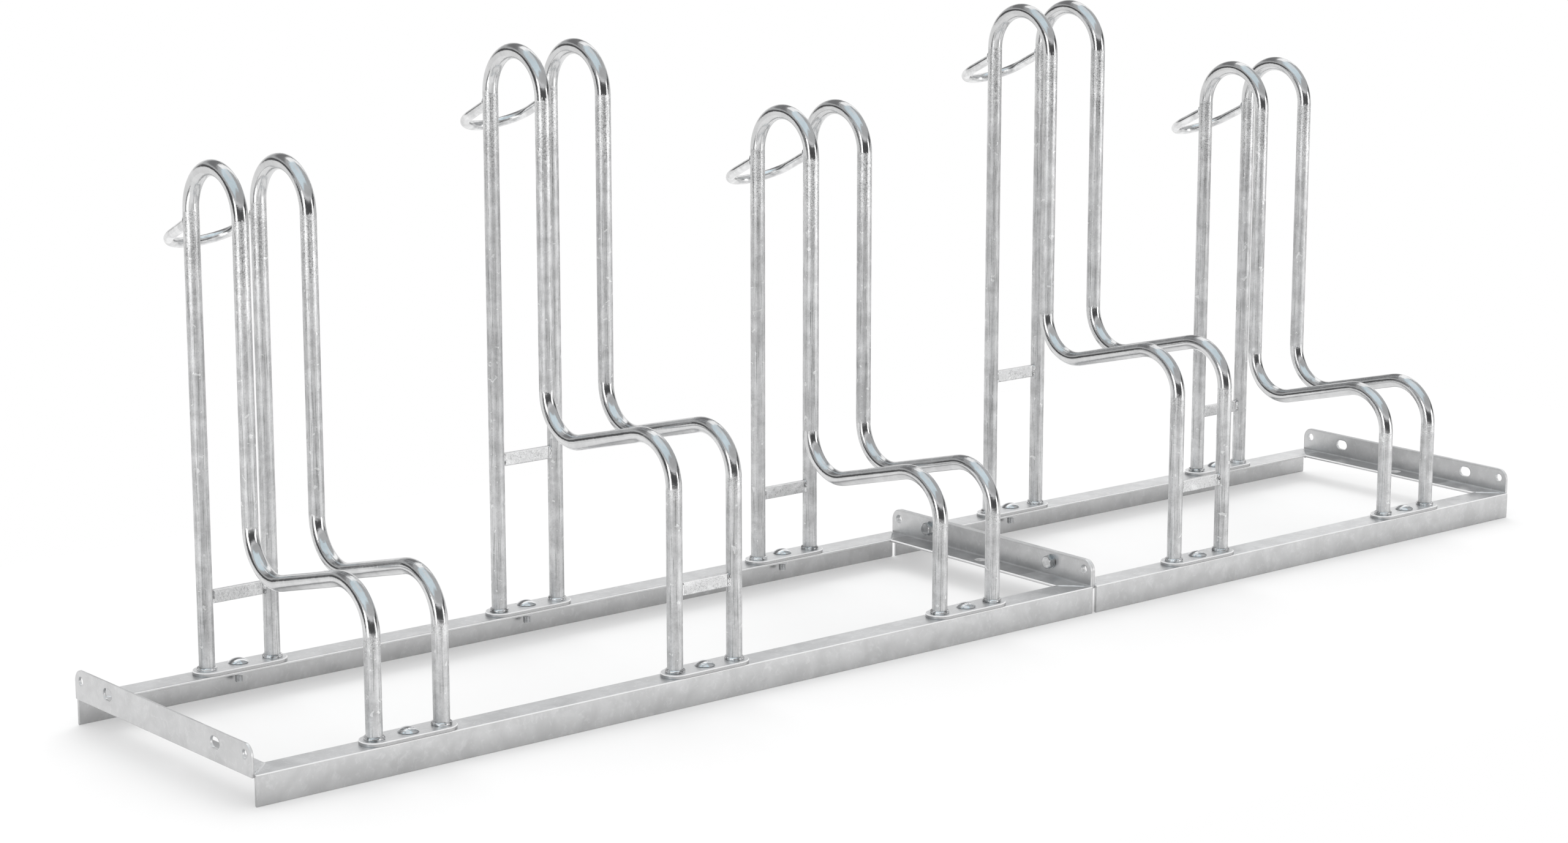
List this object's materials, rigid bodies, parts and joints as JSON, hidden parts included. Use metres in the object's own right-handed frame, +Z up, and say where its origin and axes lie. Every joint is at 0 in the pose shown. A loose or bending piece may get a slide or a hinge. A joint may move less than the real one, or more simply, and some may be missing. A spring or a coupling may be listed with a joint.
{
  "type": "floor bike rack",
  "caption": "Low steel floor rack with wheel stands at alternating heights, made of bent tube pairs with lock loops on an angle-iron base of two bolted units.",
  "frame": {"origin": "on the floor, midway between the rack's two ends and midway between the front rail's face and the back of the lock loops", "axes": "+X along the rails from the three-place unit to the two-place unit, +Y from the front to the back, +Z up from the floor"},
  "size_m": [1.75, 0.3901, 0.632],
  "materials": {
    "galvanised_tube": "hot-dip galvanised, bright and streaked, glossier in the bends",
    "galvanised_angle": "hot-dip galvanised, pale with soft zinc flowers",
    "galvanised_flat": "hot-dip galvanised, pale with soft zinc flowers",
    "galvanised_rod": "hot-dip galvanised, smooth and bright",
    "galvanised_weld": "weld beads under bright zinc",
    "zinc_fasteners": "zinc plated, glossy"
  },
  "bodies": {
    "root": {"long_front_rail": "galvanised_angle", "long_back_rail": "galvanised_angle", "long_left_end_angle": "galvanised_angle", "long_right_end_angle": "galvanised_angle", "short_front_rail": "galvanised_angle", "short_back_rail": "galvanised_angle", "short_left_end_angle": "galvanised_angle", "short_right_end_angle": "galvanised_angle", "stand1_left_tube": "galvanised_tube", "stand1_right_tube": "galvanised_tube", "stand1_front_foot": "galvanised_flat", "stand1_back_foot": "galvanised_flat", "stand1_back_tie": "galvanised_flat", "stand1_lock_loop": "galvanised_rod", "stand1_welds": "galvanised_weld", "stand2_left_tube": "galvanised_tube", "stand2_right_tube": "galvanised_tube", "stand2_front_foot": "galvanised_flat", "stand2_back_foot": "galvanised_flat", "stand2_back_tie": "galvanised_flat", "stand2_lock_loop": "galvanised_rod", "stand2_welds": "galvanised_weld", "stand3_left_tube": "galvanised_tube", "stand3_right_tube": "galvanised_tube", "stand3_front_foot": "galvanised_flat", "stand3_back_foot": "galvanised_flat", "stand3_back_tie": "galvanised_flat", "stand3_lock_loop": "galvanised_rod", "stand3_welds": "galvanised_weld", "stand4_left_tube": "galvanised_tube", "stand4_right_tube": "galvanised_tube", "stand4_front_foot": "galvanised_flat", "stand4_back_foot": "galvanised_flat", "stand4_back_tie": "galvanised_flat", "stand4_lock_loop": "galvanised_rod", "stand4_welds": "galvanised_weld", "stand5_left_tube": "galvanised_tube", "stand5_right_tube": "galvanised_tube", "stand5_front_foot": "galvanised_flat", "stand5_back_foot": "galvanised_flat", "stand5_back_tie": "galvanised_flat", "stand5_lock_loop": "galvanised_rod", "stand5_welds": "galvanised_weld", "stand2_front_tie": "galvanised_flat", "stand4_front_tie": "galvanised_flat", "base_welds": "galvanised_weld", "carriage_bolts": "zinc_fasteners", "carriage_nuts": "zinc_fasteners", "coupling_bolts": "zinc_fasteners", "coupling_washers": "zinc_fasteners", "coupling_nuts": "zinc_fasteners"}
  },
  "joints": []
}
